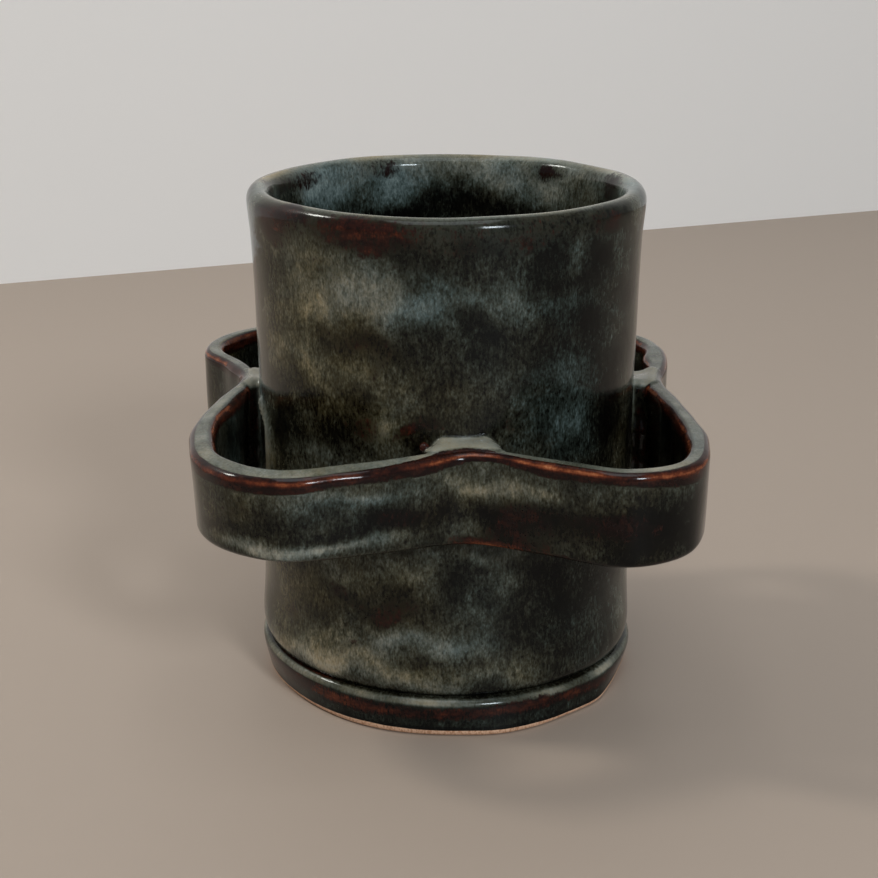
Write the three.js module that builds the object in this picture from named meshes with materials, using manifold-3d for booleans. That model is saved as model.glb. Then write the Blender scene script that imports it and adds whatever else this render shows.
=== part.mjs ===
// A hand-built stoneware cup. A slab cylinder stands on a slab base, and one strap of clay, bent into
// four loops, rings it at half height. Four lumps of soft clay join the strap to the wall, so a finger
// fits through each loop and the strap serves as the handle from every side.
//
// Millimetres, +Z up, -Y the front. The origin is on the cup's axis, on the foot face.

import * as THREE from "three";
import { mergeVertices } from "three/addons/utils/BufferGeometryUtils.js";
import Module from "manifold-3d";

const wasm = await Module();
wasm.setup();

// Driving dimensions of the vessel
const CUP_HEIGHT = 108;
const RIM_RADIUS = 42;
const LIP_RADIUS = 2.6; // half the thickness of the rounded lip
const WALL_RADIUS = 40.4;
const WALL_THICKNESS = 5.1;
const FLARE_START = 71; // height where the wall begins to open towards the rim
const FLARE_END = 98; // height where the lip begins to swell
const FLARE = 0.9; // how much wider the wall is there, outside
const SWELL_RADIUS = 41.05; // the wall swells where it was pressed on to the base
const SWELL_TOP = 21.5;
const GROOVE_RADIUS = 39.9; // bottom of the groove between wall and base
const BASE_THICKNESS = 8.4;
const BASE_RADIUS = 41.3;
const SHOULDER_RADIUS = 1.6; // rounding of the base's upper edge
const FOOT_BEVEL = 1.1;
const FOOT_DRIFT = new THREE.Vector2(0.3, -1.3); // the foot was cut off the wall's axis, towards the front
const SEAM_COIL_RADIUS = 4;

// Driving dimensions of the strap. It is thinner where it was pressed to the wall, in the valleys
// between its loops, and out on a loop its lower edge leans in.
const STRAP_TOP = 63.3;
const STRAP_BOTTOM = 43.6;
const STRAP_EDGE_RADIUS = 1.7;
const VALLEY_THICKNESS = 4.2;
const LOOP_THICKNESS = 4.6;
const LOOP_LEAN = 0.7;
const VALLEY_REACH = 44.5; // distance of the strap's centre line from the cup's axis
const LOOP_REACH = 62;
// The front-left loop is thicker and shallower, leans more, and its top slopes outwards.
const FAT_LOOP_BEARING = THREE.MathUtils.degToRad(-120);
const FAT_LOOP_SPREAD = THREE.MathUtils.degToRad(25);
const FAT_LOOP_EXTRA_THICKNESS = 1.1;
const FAT_LOOP_EXTRA_LEAN = 0.9;
const FAT_LOOP_RAISED_BOTTOM = 2.1;
const FAT_LOOP_TOP_SLOPE = 1.1;

// The strap's centre line in plan, anticlockwise, one row for each loop. Each row starts at the
// valley where the strap comes closest to the wall: front, right, back, left.
const STRAP_ROUTE = [
  [[4.5, -44.1], [18, -49], [34, -56.2], [46.1, -50.6], [50, -35], [48.4, -14]],
  [[46, 6.5], [49.2, 25], [46.9, 42], [36, 50], [18, 47.4]],
  [[-1, 44.4], [-19, 50.1], [-37, 55], [-51.5, 46], [-54.8, 32], [-48.3, 20]],
  [[-43.7, 7.6], [-46.8, -8], [-49.2, -28], [-45.2, -47.4], [-32, -56.8], [-15, -52.4]],
];
const BACK_LOOP = 2; // the strap's two ends meet at the start of this loop

// Clay joins between strap and wall: the loop whose valley each fills, its bearing in degrees, and
// half its width along the wall
const JOINS = [
  { name: "front_join", loop: 0, bearing: -86, halfWidth: 8.6 },
  { name: "right_join", loop: 1, bearing: 13, halfWidth: 7.5 },
  { name: "back_join", loop: 2, bearing: 91, halfWidth: 10 },
  { name: "left_join", loop: 3, bearing: 172, halfWidth: 9.5 },
];
const JOIN_RISE = 1.3; // how far a join rides up the wall
const JOIN_CORNER = 4; // radius of a join's corners, seen from outside the cup
const JOIN_DROP = 0.8; // how far a join hangs below the strap
const JOIN_CAP = 0.75; // thickness of its lap over the strap's top
const CLEARANCE = 0.3; // between a join and the pieces it was cut by

// Fineness of the facets
const ROUND_STEPS = 64;
const STRAP_STEPS = 120;
const CORNER_STEPS = 3;
const JOIN_STEPS = 5;

// A closed triangle mesh as a solid for cutting, and back again.
function solidOf(geometry) {
  const bare = geometry.clone();
  bare.deleteAttribute("normal");
  bare.deleteAttribute("uv");
  const merged = mergeVertices(bare, 1e-4);
  return new wasm.Manifold(
    new wasm.Mesh({
      numProp: 3,
      vertProperties: new Float32Array(merged.attributes.position.array),
      triVerts: new Uint32Array(merged.index.array),
    }),
  );
}

function geometryOf(solid) {
  const mesh = solid.getMesh();
  const geometry = new THREE.BufferGeometry();
  geometry.setAttribute("position", new THREE.BufferAttribute(mesh.vertProperties, 3));
  geometry.setIndex(new THREE.BufferAttribute(mesh.triVerts, 1));
  return geometry;
}

// A solid of revolution about +Z. The outline is a list of [radius, height].
function turned(outline, steps = ROUND_STEPS) {
  const points = outline.map(([radius, height]) => new THREE.Vector2(radius, height));
  return new THREE.LatheGeometry(points, steps).rotateX(Math.PI / 2);
}

// Points of an arc in the [radius, height] plane, angles in degrees, both ends included.
function arc(centreRadius, centreHeight, size, from, to, steps) {
  return Array.from({ length: steps + 1 }, (_, i) => {
    const angle = THREE.MathUtils.degToRad(from + ((to - from) * i) / steps);
    return [centreRadius + size * Math.cos(angle), centreHeight + size * Math.sin(angle)];
  });
}

// The base slab: a disc whose bare clay foot is bevelled and whose top edge is rounded off
// towards the groove under the wall. It is sheared, so that its foot stands off the wall's axis.
function baseSlab() {
  const shoulder = arc(
    BASE_RADIUS - SHOULDER_RADIUS,
    BASE_THICKNESS - SHOULDER_RADIUS * 1.2,
    SHOULDER_RADIUS,
    0,
    70,
    4,
  );
  const slab = turned([
    [0, 0],
    [BASE_RADIUS - FOOT_BEVEL, 0],
    [BASE_RADIUS - FOOT_BEVEL / 2, FOOT_BEVEL / 2],
    [BASE_RADIUS, FOOT_BEVEL * 2],
    ...shoulder,
    [GROOVE_RADIUS - FOOT_BEVEL / 2, BASE_THICKNESS],
    [0, BASE_THICKNESS],
  ]);
  const vertices = slab.attributes.position;
  for (let i = 0; i < vertices.count; i++) {
    const drift = 1 - vertices.getZ(i) / BASE_THICKNESS;
    vertices.setX(i, vertices.getX(i) + FOOT_DRIFT.x * drift);
    vertices.setY(i, vertices.getY(i) + FOOT_DRIFT.y * drift);
  }
  return slab;
}

// The wall: a cylinder, pressed outwards at its foot, opening gently to a rounded lip.
function slabWall() {
  const inner = WALL_RADIUS - WALL_THICKNESS;
  const swell = SWELL_RADIUS - GROOVE_RADIUS;
  return turned([
    [inner, BASE_THICKNESS],
    [GROOVE_RADIUS, BASE_THICKNESS],
    [SWELL_RADIUS - swell * 0.4, BASE_THICKNESS + swell * 0.6],
    [SWELL_RADIUS, BASE_THICKNESS + swell * 2],
    [SWELL_RADIUS, THREE.MathUtils.lerp(BASE_THICKNESS, SWELL_TOP, 0.4)],
    [(SWELL_RADIUS + WALL_RADIUS) / 2, THREE.MathUtils.lerp(BASE_THICKNESS, SWELL_TOP, 0.65)],
    [WALL_RADIUS, SWELL_TOP],
    [WALL_RADIUS, FLARE_START],
    [WALL_RADIUS + FLARE * 0.4, (FLARE_START + FLARE_END) / 2],
    [WALL_RADIUS + FLARE, FLARE_END],
    ...arc(RIM_RADIUS - LIP_RADIUS, CUP_HEIGHT - LIP_RADIUS, LIP_RADIUS, -5, 185, 10),
    [inner + FLARE, FLARE_END],
    [inner + FLARE * 0.4, (FLARE_START + FLARE_END) / 2],
    [inner, FLARE_START],
    [inner, BASE_THICKNESS],
  ]);
}

// The coil pressed into the corner between the wall and the floor.
function seamCoil() {
  const corner = WALL_RADIUS - WALL_THICKNESS - CLEARANCE;
  const floor = BASE_THICKNESS + CLEARANCE;
  const fillet = arc(corner - SEAM_COIL_RADIUS, floor + SEAM_COIL_RADIUS, SEAM_COIL_RADIUS, 0, -90, 5);
  return turned([[corner, floor], ...fillet.slice(0, -1), [corner - SEAM_COIL_RADIUS, floor], [corner, floor]]);
}

const strapCurve = new THREE.CatmullRomCurve3(
  STRAP_ROUTE.flat().map(([x, y]) => new THREE.Vector3(x, y, 0)),
  true,
  "centripetal",
);

// How far into the fat front-left loop a point of the strap is: 1 at its middle, 0 away from it.
function fatness(point) {
  let turn = Math.atan2(point.y, point.x) - FAT_LOOP_BEARING;
  turn = Math.atan2(Math.sin(turn), Math.cos(turn));
  return Math.exp(-((turn / FAT_LOOP_SPREAD) ** 2));
}

// How far out on a loop a point of the strap is: 0 in a valley, 1 at a loop's far end.
function loopness(point) {
  return THREE.MathUtils.smoothstep(point.length(), VALLEY_REACH, LOOP_REACH);
}

// The strap's section at one station, as [outwards, height] points, with every corner rounded.
function strapSection(point, grow) {
  const fat = fatness(point);
  const out = loopness(point);
  const thickness =
    THREE.MathUtils.lerp(VALLEY_THICKNESS, LOOP_THICKNESS, out) + FAT_LOOP_EXTRA_THICKNESS * fat;
  const half = thickness / 2 + grow;
  const lean = LOOP_LEAN * out + FAT_LOOP_EXTRA_LEAN * fat;
  const top = STRAP_TOP + grow;
  const bottom = STRAP_BOTTOM + FAT_LOOP_RAISED_BOTTOM * fat - grow;
  const corners = [
    [half, bottom, -90],
    [half, top, 0],
    [-half, top, 90],
    [-half, bottom, 180],
  ];
  return corners.flatMap(([side, height, from]) => {
    const inX = side - Math.sign(side) * STRAP_EDGE_RADIUS;
    const inZ = height + (height === top ? -1 : 1) * STRAP_EDGE_RADIUS;
    const rounded = arc(inX, inZ, STRAP_EDGE_RADIUS, from, from + 90, CORNER_STEPS);
    const slope = height === top ? FAT_LOOP_TOP_SLOPE * fat : 0;
    return rounded.map(([x, z]) => {
      const depth = (STRAP_TOP - z) / (STRAP_TOP - STRAP_BOTTOM);
      return [x - lean * depth, z - (slope * (x + half)) / (2 * half)];
    });
  });
}

// The strap as a closed ring, swept along its route. grow swells it, to cut room for a neighbour.
function strapRing(grow = 0) {
  const positions = [];
  const index = [];
  const perSection = 4 * (CORNER_STEPS + 1);
  for (let i = 0; i < STRAP_STEPS; i++) {
    const u = i / STRAP_STEPS;
    const point = strapCurve.getPointAt(u);
    const along = strapCurve.getTangentAt(u);
    const outwards = new THREE.Vector2(along.y, -along.x);
    for (const [x, z] of strapSection(point, grow)) {
      positions.push(point.x + outwards.x * x, point.y + outwards.y * x, z);
    }
    const next = (i + 1) % STRAP_STEPS;
    for (let j = 0; j < perSection; j++) {
      const k = (j + 1) % perSection;
      const [a, b, c, d] = [i * perSection + j, next * perSection + j, next * perSection + k, i * perSection + k];
      index.push(a, b, c, a, c, d);
    }
  }
  const geometry = new THREE.BufferGeometry();
  geometry.setAttribute("position", new THREE.Float32BufferAttribute(positions, 3));
  geometry.setIndex(index);
  return geometry;
}

// The strap is one strip: its two ends meet on a slant behind the back join.
function lobedStrap() {
  const [x, y] = STRAP_ROUTE[BACK_LOOP][0];
  const slant = THREE.MathUtils.degToRad(55);
  const cut = new THREE.BoxGeometry(CLEARANCE, 20, 2 * (STRAP_TOP - STRAP_BOTTOM))
    .rotateZ(slant)
    .translate(x, y, (STRAP_TOP + STRAP_BOTTOM) / 2);
  return geometryOf(solidOf(strapRing()).subtract(solidOf(cut)));
}

// A join: clay filling the gap from the wall to the strap, with hollowed ends, rounded corners, a
// cap that laps half over the strap's top and a sloping top that rides up the wall.
function clayJoin({ loop, bearing, halfWidth }) {
  const turn = THREE.MathUtils.degToRad(bearing);
  const valley = Math.hypot(...STRAP_ROUTE[loop][0]);
  const strapInner = valley - VALLEY_THICKNESS / 2;
  const near = WALL_RADIUS * 0.9;
  const far = valley + VALLEY_THICKNESS * 2;
  const low = STRAP_BOTTOM - JOIN_DROP;
  const high = STRAP_TOP + JOIN_RISE;

  const waist = halfWidth * 0.75;
  const flared = halfWidth * 1.25;
  const plan = new THREE.Shape();
  plan.moveTo(near, -flared);
  plan.quadraticCurveTo(strapInner, -waist, far, -flared);
  plan.lineTo(far, flared);
  plan.quadraticCurveTo(strapInner, waist, near, flared);
  const seenFromAbove = new THREE.ExtrudeGeometry(plan, {
    depth: high - low + 2,
    bevelEnabled: false,
    curveSegments: JOIN_STEPS,
  }).translate(0, 0, low - 1);

  const front = new THREE.Shape();
  front.moveTo(halfWidth, low + JOIN_CORNER);
  front.absarc(halfWidth - JOIN_CORNER, high - JOIN_CORNER, JOIN_CORNER, 0, Math.PI / 2);
  front.absarc(JOIN_CORNER - halfWidth, high - JOIN_CORNER, JOIN_CORNER, Math.PI / 2, Math.PI);
  front.absarc(JOIN_CORNER - halfWidth, low + JOIN_CORNER, JOIN_CORNER, Math.PI, Math.PI * 1.5);
  front.absarc(halfWidth - JOIN_CORNER, low + JOIN_CORNER, JOIN_CORNER, Math.PI * 1.5, Math.PI * 2);
  const seenFromOutside = new THREE.ExtrudeGeometry(front, {
    depth: far,
    bevelEnabled: false,
    curveSegments: JOIN_STEPS,
  })
    .rotateX(Math.PI / 2)
    .rotateZ(Math.PI / 2);

  const seenInSection = turned([
    [near, low],
    [strapInner - CLEARANCE, low],
    [strapInner + JOIN_DROP, STRAP_BOTTOM],
    [far, STRAP_BOTTOM + STRAP_EDGE_RADIUS],
    [far, STRAP_TOP - STRAP_EDGE_RADIUS],
    [strapInner + JOIN_CAP * 2, STRAP_TOP + JOIN_CAP / 2],
    [strapInner, STRAP_TOP + JOIN_CAP],
    [WALL_RADIUS + CLEARANCE, high],
    [near, high],
    [near, low],
  ]);
  const centreLine = strapCurve.getSpacedPoints(STRAP_STEPS).slice(1);
  const insideStrap = new THREE.ExtrudeGeometry(new THREE.Shape(centreLine), {
    depth: CUP_HEIGHT,
    bevelEnabled: false,
  });
  const radius = WALL_RADIUS + CLEARANCE;
  const wall = new THREE.CylinderGeometry(radius, radius, CUP_HEIGHT * 2, ROUND_STEPS).rotateX(Math.PI / 2);

  const shaped = solidOf(seenFromAbove.rotateZ(turn))
    .intersect(solidOf(seenFromOutside.rotateZ(turn)))
    .intersect(solidOf(seenInSection))
    .intersect(solidOf(insideStrap))
    .subtract(solidOf(wall))
    .subtract(solidOf(strapRing(CLEARANCE)));
  const pieces = shaped.decompose().sort((a, b) => b.volume() - a.volume());
  return geometryOf(pieces[0]);
}

// Glazes and clay, as colour, roughness and metalness
const FLOATING_BLUE_GLAZE = { color: 0x46504f, roughness: 0.18, metalness: 0 };
const BROWN_BREAK_GLAZE = { color: 0x4d3128, roughness: 0.2, metalness: 0 };
const FOOT_GLAZE = { color: 0x2f3a3e, roughness: 0.25, metalness: 0 };

const cup = new THREE.Group();

function add(name, geometry, finish) {
  const mesh = new THREE.Mesh(geometry, new THREE.MeshStandardMaterial(finish));
  mesh.name = name;
  cup.add(mesh);
}

add("base_slab", baseSlab(), FOOT_GLAZE);
add("wall_cylinder", slabWall(), FLOATING_BLUE_GLAZE);
add("inner_seam_coil", seamCoil(), FLOATING_BLUE_GLAZE);
add("lobed_strap", lobedStrap(), FLOATING_BLUE_GLAZE);
for (const join of JOINS) {
  add(join.name, clayJoin(join), BROWN_BREAK_GLAZE);
}

export default cup;
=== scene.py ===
"""A hand-built, glazed stoneware cup with a looped strap handle.

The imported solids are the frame. A fine surface of the same size stands for each of them here, with
the unevenness of clay that was rolled and pressed by hand, and one glaze runs over them all.
Lengths are in millimetres until a mesh is made, and bearings run anticlockwise from +X.
"""

import math

import bpy
import numpy as np
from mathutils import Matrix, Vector


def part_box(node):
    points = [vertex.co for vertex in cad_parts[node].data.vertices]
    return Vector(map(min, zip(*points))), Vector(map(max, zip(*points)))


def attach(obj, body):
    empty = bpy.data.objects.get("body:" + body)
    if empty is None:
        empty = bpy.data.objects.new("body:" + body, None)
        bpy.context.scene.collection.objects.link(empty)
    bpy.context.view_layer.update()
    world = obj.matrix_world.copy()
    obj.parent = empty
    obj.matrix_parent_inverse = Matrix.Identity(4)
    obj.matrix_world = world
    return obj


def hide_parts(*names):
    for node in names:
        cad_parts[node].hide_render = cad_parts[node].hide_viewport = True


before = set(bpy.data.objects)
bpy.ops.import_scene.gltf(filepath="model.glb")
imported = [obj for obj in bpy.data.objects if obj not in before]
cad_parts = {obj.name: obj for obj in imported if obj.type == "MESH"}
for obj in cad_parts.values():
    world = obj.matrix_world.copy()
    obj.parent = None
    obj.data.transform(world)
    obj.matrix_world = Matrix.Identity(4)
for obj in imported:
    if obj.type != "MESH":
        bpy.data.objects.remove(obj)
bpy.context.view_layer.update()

MM = 0.001


def node_box(node):
    """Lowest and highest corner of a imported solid, in millimetres."""
    return [np.array(corner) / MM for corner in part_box(node)]


# Sizes of the vessel, from the frame and the part's driving dimensions
wall_low, wall_high = node_box("wall_cylinder")
strap_low, strap_high = node_box("lobed_strap")
BASE_THICKNESS = wall_low[2]
CUP_HEIGHT = wall_high[2]
RIM_RADIUS = wall_high[0]
LIP_RADIUS = 2.6
WALL_RADIUS = 40.4
WALL_THICKNESS = 5.1
INNER_RADIUS = WALL_RADIUS - WALL_THICKNESS
FLARE_START = 71.0
FLARE_END = 98.0
FLARE = 0.9
FLARE_BEND = [(FLARE, FLARE_END), (FLARE * 0.4, (FLARE_START + FLARE_END) / 2), (0, FLARE_START - 6)]
SWELL_RADIUS = 41.05
SWELL_TOP = 21.5
GROOVE_RADIUS = 39.9
GROOVE_TILT = 0.7  # the groove is this much higher on the left and lower on the right
BASE_RADIUS = 41.3
SHOULDER_RADIUS = 1.6
FOOT_BEVEL = 1.1
FOOT_DRIFT = np.array([0.3, -1.3])
SEAM_COIL_RADIUS = 4.0
CLAY_LINE = 1.15  # height of the bare clay above the foot

# Sizes of the strap
STRAP_TOP = strap_high[2]
STRAP_BOTTOM = strap_low[2]
TOP_EDGE_RADIUS = 1.7
BOTTOM_EDGE_RADIUS = 1.8
VALLEY_THICKNESS = 4.2
LOOP_THICKNESS = 4.6
LOOP_LEAN = 0.7
VALLEY_REACH = 44.5
LOOP_REACH = 62.0
MIDDLE_REACH = 55  # how far from the cup's axis its outer face lies, about
FAT_LOOP = [(-120, 25, 1)]  # the thick loop: bearing and half width in degrees
FAT_LOOP_EXTRA_THICKNESS = 1.1
FAT_LOOP_EXTRA_LEAN = 0.9
FAT_LOOP_RAISED_BOTTOM = 2.1
FAT_LOOP_TOP_SLOPE = 1.1

# The strap's centre line in plan, anticlockwise, one row for each loop, from valley to valley
STRAP_ROUTE = [
    [(4.5, -44.1), (18, -49), (34, -56.2), (46.1, -50.6), (50, -35), (48.4, -14)],
    [(46, 6.5), (49.2, 25), (46.9, 42), (36, 50), (18, 47.4)],
    [(-1, 44.4), (-19, 50.1), (-37, 55), (-51.5, 46), (-54.8, 32), (-48.3, 20)],
    [(-43.7, 7.6), (-46.8, -8), (-49.2, -28), (-45.2, -47.4), (-32, -56.8), (-15, -52.4)],
]

# Where the strap is thicker or thinner on its inner side: bearing and half width in degrees, and mm
STRAP_LUMPS = [(27, 5, 1.4), (12, 4, -0.3), (1, 3.5, 0.3), (38, 5, -0.3), (160, 5, 0.4), (178, 5, -0.2)]
STRAP_SAG = [(8, 16, 1.3)]  # its lower edge sags at the right join, in the same way

# Clay joins: name, bearing in degrees, half its width, how far it stands above the strap, and how far
# past the strap's centre line it is smeared
JOINS = [
    ("front_join", -85.0, 7.1, 0.5, -0.5),
    ("right_join", 10, 6.0, 0.25, 0.4),
    ("back_join", 91, 9.0, 0.6, 0.0),
    ("left_join", 171, 6.4, 0.35, 0.0),
]
JOIN_SPREAD = 3.0  # how much wider a join is smeared at its foot than at its top
JOIN_TAPER = 1.6  # how much narrower it is at the wall than at the strap
JOIN_ROUNDING = 1.9
JOIN_FLOW = 3.2  # how wide the hollow between wall and strap is smeared
LUMP_FLOW = 2.2  # the same round the lump of clay
PELLET = np.array([-4.3, -42.6, 63.3])  # a crumb of clay left at the end of the front join
PELLET_RADIUS = 1.0

# Runs of glaze down the wall: bearing at the top and below, top and bottom height, half width in mm
RUNS = [(-166, -157, 63.5, 43.0, 1.9)]
RUN_HEIGHT = 1.0

# How far surfaces rise and fall as clay does, in mm
WALL_UNEVENNESS = 0.11
INSIDE_UNEVENNESS = 0.12
LIP_UNEVENNESS = 0.12
BASE_UNEVENNESS = 0.1
FOOT_UNEVENNESS = 0.16
STRAP_UNEVENNESS = 0.1
STRAP_EDGE_UNEVENNESS = 0.12
FINGER_MARKS = 0.12

# Where the foot was trimmed: bearing and half width in degrees, and how much came off, in mm
FOOT_TRIM = 0.7
FOOT_CUTS = [
    (-150, 28, 1.2), (-75, 9, -0.6), (-52, 8, 0.5), (-37, 6, -0.4), (-15, 14, 1.0), (70, 20, 0.5),
]

# Fineness of the meshes: steps round the cup, steps of an outline in mm, steps along the strap and
# round its section, cells of a join in mm
ROUND_STEPS = 360
WALL_STEP = 0.76
BASE_STEP = 0.22
FLAT_STEP = 1.3
HIDDEN_STEP = 1.2
STRAP_STEPS = 640
CORNER_STEPS = 8
FACE_STEPS = 23
EDGE_STEPS = 6
JOIN_CELL = 0.42
JOIN_MARGIN = 3.5  # how far past its lump a join is looked for


# Shapes: curves and unevenness


def ease(value, start, end):
    """0 before start, 1 past end, smooth between."""
    t = np.clip((value - start) / (end - start), 0, 1)
    return t * t * (3 - 2 * t)


def fade(value, start, end):
    """1 before start, 0 past end, smooth between."""
    return 1 - ease(value, start, end)


def bell(value, wide):
    """1 where the value is 0, fading out on both sides."""
    return np.exp(-((value / wide) ** 2))


def mix(a, b, share):
    return a * (1 - share) + b * share


def bearing_of(points):
    return np.arctan2(points[:, 1], points[:, 0])


def angle_from(centre, bearing):
    """How far a bearing lies past a centre in degrees, within half a turn either way, in radians."""
    return np.angle(np.exp(1j * (bearing - np.radians(centre))))


def arc(radius, height, size, start, end, steps):
    """Points of an arc round a radius and height, angles in degrees, both ends included."""
    angles = np.radians(np.linspace(start, end, steps + 1))
    return np.stack([radius + size * np.cos(angles), height + size * np.sin(angles)], 1)


def lengths(vectors):
    return np.linalg.norm(vectors, axis=1)


def even_steps(line, count):
    """Points at equal steps along a line of points, both of its ends included."""
    run = np.concatenate([[0], np.cumsum(lengths(np.diff(line, axis=0)))])
    at = np.linspace(0, run[-1], count)
    return np.stack([np.interp(at, run, line[:, k]) for k in (0, 1)], 1)


def resample(outline, spacing):
    """The same outline with a point about every spacing millimetres."""
    outline = np.array(outline, float)
    return even_steps(outline, int(lengths(np.diff(outline, axis=0)).sum() / spacing) + 1)


def ripples(seed, turns, wavelength, count=16):
    """A smooth uneven field over bearing and height, about 1 in size and periodic round the cup."""
    draw = np.random.RandomState(seed)
    around = draw.randint(0, turns + 1, count)
    along = draw.uniform(-1, 1, count) * 2 * math.pi / wavelength
    phase = draw.uniform(0, 2 * math.pi, count)

    def field(bearing, height):
        total = np.zeros(np.broadcast(bearing, height).shape)
        for n, k, start in zip(around, along, phase):
            total += np.cos(n * bearing + k * height + start)
        return total / math.sqrt(count / 2)

    return field


wall_waves = ripples(seed=3, turns=8, wavelength=30)
lip_waves = ripples(seed=5, turns=11, wavelength=60)
foot_waves = ripples(seed=14, turns=7, wavelength=90)
strap_waves = ripples(seed=21, turns=16, wavelength=24)
glaze_waves = ripples(seed=8, turns=9, wavelength=26, count=28)
glaze_dabs = ripples(seed=11, turns=22, wavelength=11, count=40)


def outer_profile():
    """The wall's outside from groove to lip, as (radius, height) points."""
    swell = SWELL_RADIUS - GROOVE_RADIUS
    run = SWELL_TOP - BASE_THICKNESS
    groove = arc(SWELL_RADIUS - swell, BASE_THICKNESS + swell * 1.2, swell, -75, 0, 6)
    above = [
        (SWELL_RADIUS, BASE_THICKNESS + run * 0.4),
        (SWELL_RADIUS - 0.3, BASE_THICKNESS + run * 0.62),
        (WALL_RADIUS + 0.08, BASE_THICKNESS + run * 0.85),
        (WALL_RADIUS, SWELL_TOP),
    ]
    flare = [(WALL_RADIUS + more, height) for more, height in reversed(FLARE_BEND)]
    return np.vstack([groove, above, flare])


def smooth_profile(points, spacing=0.6, passes=8):
    """A resampled outline whose corners are rubbed round, with its two ends kept."""
    fine = resample(points, spacing)
    for _ in range(passes):
        fine[1:-1] = (fine[:-2] + 2 * fine[1:-1] + fine[2:]) / 4
    return fine


OUTER = smooth_profile(outer_profile())


def glaze_runs(bearing, height):
    """How much of a run's full height lies at each point of the wall."""
    total = np.zeros(np.broadcast(bearing, height).shape)
    for start, end, top, bottom, wide in RUNS:
        centre = mix(end, start, ease(height, top - 5, top))
        across = angle_from(centre, bearing) * WALL_RADIUS
        length = ease(height, bottom - 2, bottom + 2) * fade(height, top - 1, top + 1)
        total = total + bell(across, wide) * length
    return total


def wall_bulge(bearing, height):
    """How far the wall's outside stands out of its profile, uneven as pressed clay is."""
    share = ease(height, BASE_THICKNESS, SWELL_TOP) * fade(height, FLARE_END, CUP_HEIGHT)
    uneven = WALL_UNEVENNESS * wall_waves(bearing, height) * share
    return uneven + RUN_HEIGHT * glaze_runs(bearing, height)


def bumps(bearing, rows):
    """Sum of round-topped bumps along the bearing: centre and half width in degrees, height."""
    total = np.zeros(np.shape(bearing))
    for centre, wide, high in rows:
        total = total + high * bell(np.degrees(angle_from(centre, bearing)), wide)
    return total


def groove_lift(bearing, height):
    """How far the groove's slant lifts a point: full at the groove, none at the foot and above."""
    falling = fade(height, BASE_THICKNESS + 1, SWELL_TOP)
    rising = ease(height, 1.5, BASE_THICKNESS - 1.5)
    return -GROOVE_TILT * np.cos(bearing) * falling * rising


def catmull_rom(points, per_span):
    """A closed centripetal Catmull-Rom curve through the points."""
    t = np.linspace(0, 1, per_span, endpoint=False)[:, None]
    p0, p1, p2, p3 = (np.roll(points, -k, 0) for k in (-1, 0, 1, 2))
    d0, d1, d2 = (np.sqrt(lengths(b - a))[:, None] for a, b in ((p0, p1), (p1, p2), (p2, p3)))
    m1 = ((p1 - p0) / d0 - (p2 - p0) / (d0 + d1) + (p2 - p1) / d1) * d1
    m2 = ((p2 - p1) / d1 - (p3 - p1) / (d1 + d2) + (p3 - p2) / d2) * d1
    a = 2 * p1 - 2 * p2 + m1 + m2
    b = -3 * p1 + 3 * p2 - 2 * m1 - m2
    spans = [a[i] * t**3 + b[i] * t**2 + m1[i] * t + p1[i] for i in range(len(points))]
    return np.vstack(spans)


def strap_line():
    """Even stations on the strap's centre line: their places, and the way outwards."""
    raw = catmull_rom(np.vstack(STRAP_ROUTE), 60)
    line = even_steps(np.vstack([raw, raw[:1]]), STRAP_STEPS + 1)[:-1]
    for _ in range(10):
        line = (np.roll(line, 1, 0) + 2 * line + np.roll(line, -1, 0)) / 4
    along = np.roll(line, -1, 0) - np.roll(line, 1, 0)
    along /= lengths(along)[:, None]
    outwards = np.stack([along[:, 1], -along[:, 0]], 1)
    return line - outwards * bumps(bearing_of(line), STRAP_LUMPS)[:, None] / 2, outwards


STRAP_LINE, STRAP_OUT = strap_line()
STRAP_TURN = np.linspace(0, 2 * math.pi, STRAP_STEPS, endpoint=False)


def strap_sizes():
    """Half thickness, lean, top slope, and heights of top and bottom at each station."""
    bearing = bearing_of(STRAP_LINE)
    fat = bumps(bearing, FAT_LOOP)
    out = ease(lengths(STRAP_LINE), VALLEY_REACH, LOOP_REACH)
    thickness = mix(VALLEY_THICKNESS, LOOP_THICKNESS, out)
    lumps = bumps(bearing, STRAP_LUMPS)
    uneven = STRAP_EDGE_UNEVENNESS * strap_waves(STRAP_TURN, 0)
    thickness = thickness + FAT_LOOP_EXTRA_THICKNESS * fat + uneven + lumps
    lean = LOOP_LEAN * out + FAT_LOOP_EXTRA_LEAN * fat
    bottom = STRAP_BOTTOM + FAT_LOOP_RAISED_BOTTOM * fat
    bottom = bottom + STRAP_UNEVENNESS + STRAP_UNEVENNESS * strap_waves(STRAP_TURN, 40)
    bottom = bottom - bumps(bearing, STRAP_SAG)
    top = STRAP_TOP - STRAP_EDGE_UNEVENNESS
    top = top + STRAP_EDGE_UNEVENNESS * np.tanh(strap_waves(STRAP_TURN, 80)) + 0.5 * np.minimum(lumps, 0)
    return thickness / 2, lean, FAT_LOOP_TOP_SLOPE * fat, top, bottom


HALF, LEAN, SLOPE, TOP, BOTTOM = strap_sizes()


def strap_ripple(station, x, z):
    """How far a face of the strap bulges, from its centre line out."""
    waves = STRAP_UNEVENNESS * strap_waves(STRAP_TURN[station] * 2 + np.sign(x), z)
    return waves * np.minimum(np.abs(x) / HALF[station], 1)


# Glaze: how thick it lies where nothing is said of it, from 0, very thin, to 1, pooled
PLAIN_GLAZE = 0.5
FRONT_WALL_GLAZE = 0.47
# The lip's crown is paler: pooled glaze, and a painted reflection of the light from above
LIP_GLAZE_AND_REFLECTION = 0.86
RUN_GLAZE = 0.88
INSIDE_GLAZE = 0.73
# The strap's top is paler: pooled glaze, and a painted reflection of the light from above
STRAP_TOP_GLAZE_AND_REFLECTION = 0.76
BASE_GLAZE = 0.3
JOIN_GLAZE = 0.36

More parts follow.
